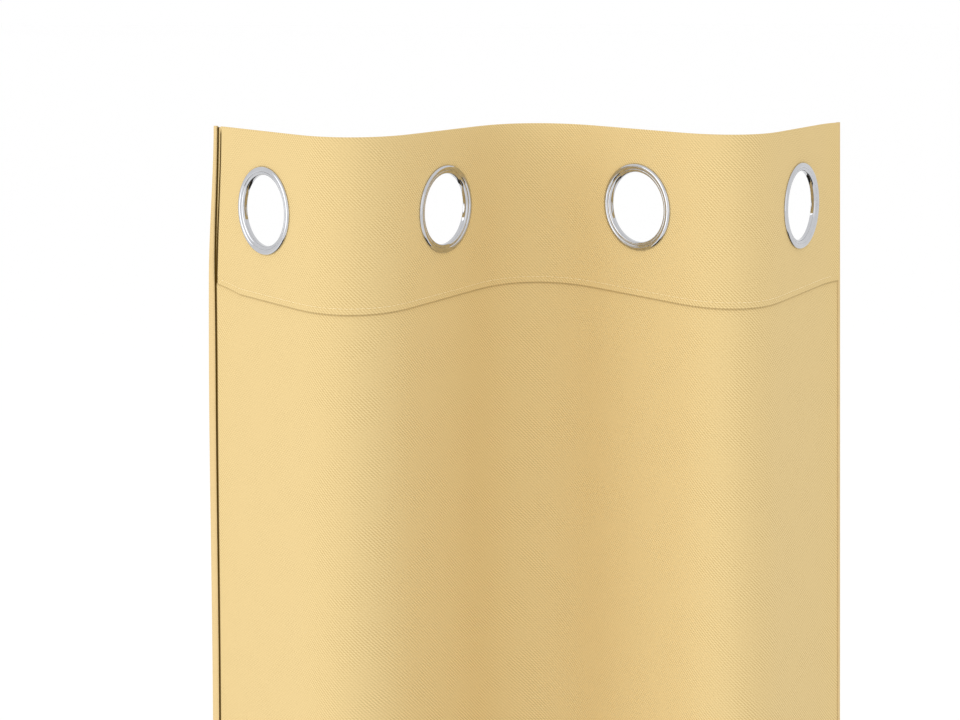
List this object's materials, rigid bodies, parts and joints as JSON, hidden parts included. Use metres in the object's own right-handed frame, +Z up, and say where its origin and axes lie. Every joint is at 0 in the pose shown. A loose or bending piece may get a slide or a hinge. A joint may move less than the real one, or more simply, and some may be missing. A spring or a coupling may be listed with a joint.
{
  "type": "eyelet curtain",
  "caption": "Heat-resistant tan cloth curtain with metal eyelets along its stitched heading, hanging in even folds to thread on a rod.",
  "frame": {"origin": "on the axis of the rod that the curtain hangs on, midway between its first and last eyelets", "axes": "+X along the rod to the right as seen from the front, -Y towards the front, +Z up"},
  "size_m": [0.4161, 0.1006, 1.6],
  "materials": {
    "curtain_cloth": "tan woven cloth with a dull flame-resistant coating",
    "heading_cloth": "the same tan coated cloth, doubled and stitched",
    "hem_cloth": "the same tan coated cloth, turned up and stitched",
    "binding_tape": "folded tan tape, a little smoother than the cloth",
    "thread": "brown-tan heat-resistant sewing thread",
    "eyelet_metal": "polished nickel-plated steel"
  },
  "bodies": {
    "fold_2": {"curtain_fold_2": "curtain_cloth", "heading_fold_2": "heading_cloth", "hem_fold_2": "hem_cloth", "heading_stitch_fold_2": "thread"},
    "flank_2": {"curtain_flank_2": "curtain_cloth", "heading_flank_2": "heading_cloth", "hem_flank_2": "hem_cloth", "heading_stitch_flank_2": "thread", "eyelet_front_2": "eyelet_metal", "eyelet_back_2": "eyelet_metal"},
    "fold_1": {"curtain_fold_1": "curtain_cloth", "heading_fold_1": "heading_cloth", "hem_fold_1": "hem_cloth", "heading_stitch_fold_1": "thread"},
    "flank_1": {"curtain_flank_1": "curtain_cloth", "heading_flank_1": "heading_cloth", "hem_flank_1": "hem_cloth", "heading_stitch_flank_1": "thread", "eyelet_front_1": "eyelet_metal", "eyelet_back_1": "eyelet_metal", "binding_left": "binding_tape"},
    "flank_3": {"curtain_flank_3": "curtain_cloth", "heading_flank_3": "heading_cloth", "hem_flank_3": "hem_cloth", "heading_stitch_flank_3": "thread", "eyelet_front_3": "eyelet_metal", "eyelet_back_3": "eyelet_metal"},
    "fold_3": {"curtain_fold_3": "curtain_cloth", "heading_fold_3": "heading_cloth", "hem_fold_3": "hem_cloth", "heading_stitch_fold_3": "thread"},
    "flank_4": {"curtain_flank_4": "curtain_cloth", "heading_flank_4": "heading_cloth", "hem_flank_4": "hem_cloth", "heading_stitch_flank_4": "thread", "eyelet_front_4": "eyelet_metal", "eyelet_back_4": "eyelet_metal", "binding_right": "binding_tape"}
  },
  "joints": [
    {"name": "gather", "type": "hinge", "parent": "fold_2", "child": "flank_2", "pos_m": [-0.01552, 0.04515, 0], "axis": [0, 0, 1], "range_deg": [-21.5, 28.5]},
    {"name": "fold_1_turn", "type": "hinge", "parent": "flank_2", "child": "fold_1", "pos_m": [-0.0943, -0.04115, 0], "axis": [0, 0, 1], "range_deg": [-28.5, 21.5]},
    {"name": "flank_1_turn", "type": "hinge", "parent": "fold_1", "child": "flank_1", "pos_m": [-0.13217, -0.04115, 0], "axis": [0, 0, 1], "range_deg": [-28.5, 21.5]},
    {"name": "flank_3_turn", "type": "hinge", "parent": "fold_2", "child": "flank_3", "pos_m": [0.02279, 0.04515, 0], "axis": [0, 0, 1], "range_deg": [-28.5, 21.5]},
    {"name": "fold_3_turn", "type": "hinge", "parent": "flank_3", "child": "fold_3", "pos_m": [0.09814, -0.0383, 0], "axis": [0, 0, 1], "range_deg": [-21.5, 28.5]},
    {"name": "flank_4_turn", "type": "hinge", "parent": "fold_3", "child": "flank_4", "pos_m": [0.1356, -0.0383, 0], "axis": [0, 0, 1], "range_deg": [-21.5, 28.5]}
  ],
  "couplings": [
    {"joint": "fold_1_turn", "follows": "gather", "ratio": -1},
    {"joint": "flank_1_turn", "follows": "gather", "ratio": -1},
    {"joint": "flank_3_turn", "follows": "gather", "ratio": -1},
    {"joint": "fold_3_turn", "follows": "gather", "ratio": 1},
    {"joint": "flank_4_turn", "follows": "gather", "ratio": 1}
  ]
}
